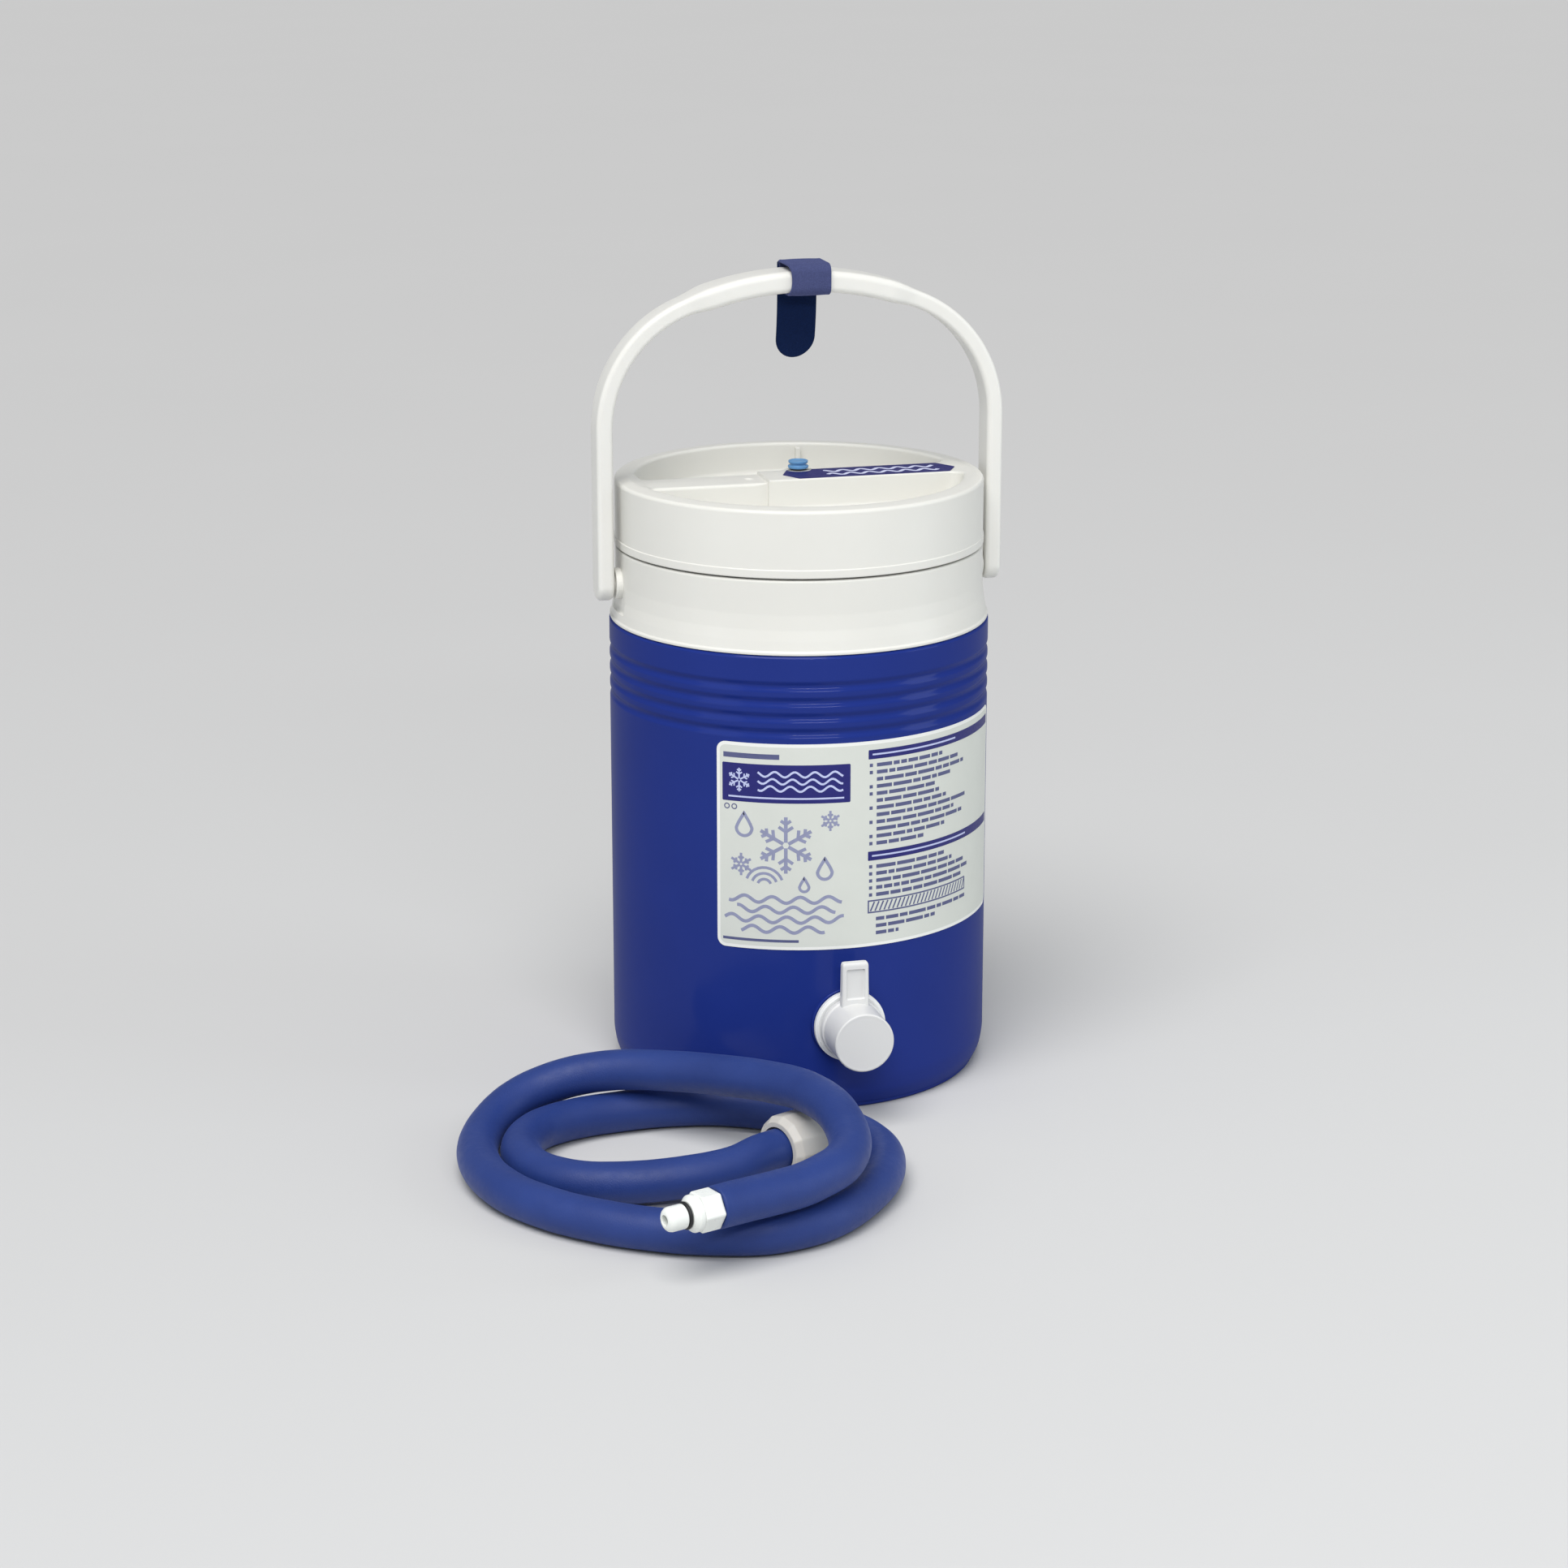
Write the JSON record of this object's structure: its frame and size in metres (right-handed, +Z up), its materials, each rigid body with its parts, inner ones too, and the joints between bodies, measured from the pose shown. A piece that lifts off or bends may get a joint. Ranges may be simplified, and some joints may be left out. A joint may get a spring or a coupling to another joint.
{
  "type": "cold therapy cooler jug",
  "caption": "Insulated cold therapy jug with screw lid, swinging carry handle with strap, capped outlet and a loose foam-sleeved hose with a nut and a plug-in coupling.",
  "frame": {"origin": "centre of the jug's base, on the surface it stands on", "axes": "+Z up along the jug's axis, -Y towards the outlet, X along the handle's pivot axis"},
  "size_m": [0.2909, 0.3651, 0.3874],
  "materials": {
    "blue_shell": "satin moulded polyethylene",
    "blue_plug": "moulded polyethylene",
    "white_liner": "smooth moulded",
    "rigid_foam": "closed-cell foam",
    "white_collar": "satin moulded",
    "label_film": null,
    "white_fitting": "satin moulded",
    "rubber_seal": "smooth rubber",
    "white_cap": "satin moulded",
    "white_lid": "satin moulded",
    "lid_film": "dark blue film with pale wave lines",
    "vent_plastic": "satin moulded",
    "white_handle": "satin moulded",
    "strap_band": "loop-faced hook-and-loop tape",
    "strap_hook": "hook-faced tape",
    "strap_tail": "loop-faced tape",
    "sleeve_foam": "soft closed-cell foam with a fine matte skin",
    "clear_tube": "soft clear vinyl",
    "nut_plastic": "natural nylon",
    "coupling_plastic": "satin moulded"
  },
  "bodies": {
    "jug": {"outer_shell": "blue_shell", "inner_liner": "white_liner", "insulation_foam": "rigid_foam", "foam_fill_plug": "blue_plug", "collar": "white_collar", "front_label": "label_film", "outlet_fitting": "white_fitting", "outlet_washer": "rubber_seal", "inner_washer": "rubber_seal", "outlet_locknut": "white_fitting"},
    "cap_seal": {"cap_seal": "rubber_seal"},
    "cap": {"outlet_cap": "white_cap"},
    "lid_gasket": {"lid_gasket": "rubber_seal"},
    "lid": {"lid_shell": "white_lid", "lid_foam": "rigid_foam", "lid_liner": "white_liner", "lid_label": "lid_film"},
    "vent": {"vent_plug": "vent_plastic", "vent_oring": "rubber_seal"},
    "handle": {"handle": "white_handle", "strap_loop": "strap_band", "strap_hook_patch": "strap_hook", "strap_tail": "strap_tail"},
    "hose": {"hose_sleeve": "sleeve_foam", "hose_tube": "clear_tube", "nut_tailpiece": "white_fitting", "nut_washer": "rubber_seal", "coupling_body": "coupling_plastic", "coupling_oring": "rubber_seal"},
    "hose_nut": {"hose_nut": "nut_plastic"}
  },
  "joints": [
    {"name": "handle_swing", "type": "hinge", "parent": "jug", "child": "handle", "pos_m": [0, 0, 0.2395], "axis": [1, 0, 0], "range_deg": [-100, 100]},
    {"name": "lid_lift", "type": "slide", "parent": "jug", "child": "lid_gasket", "axis": [0, 0, 1], "range_m": [0, 0.036]},
    {"name": "lid_turn", "type": "hinge", "parent": "lid_gasket", "child": "lid", "pos_m": [0, 0, 0.27], "axis": [0, 0, 1], "range_deg": [0, 270]},
    {"name": "vent_pull", "type": "slide", "parent": "lid", "child": "vent", "axis": [0, 0, 1], "range_m": [0, 0.004]},
    {"name": "cap_pull", "type": "slide", "parent": "jug", "child": "cap_seal", "axis": [0, -1, 0], "range_m": [0, 0.03]},
    {"name": "cap_turn", "type": "hinge", "parent": "cap_seal", "child": "cap", "pos_m": [0, -0.105, 0.044], "axis": [0, -1, 0], "range_deg": [-90, 90]},
    {"name": "hose_slide", "type": "slide", "parent": "jug", "child": "hose", "axis": [0, -1, 0], "range_m": [0, 0.08]},
    {"name": "nut_spin", "type": "hinge", "parent": "hose", "child": "hose_nut", "pos_m": [-0.0539, -0.166, 0.0152], "axis": [0.895, 0.446, 0], "continuous": true}
  ]
}
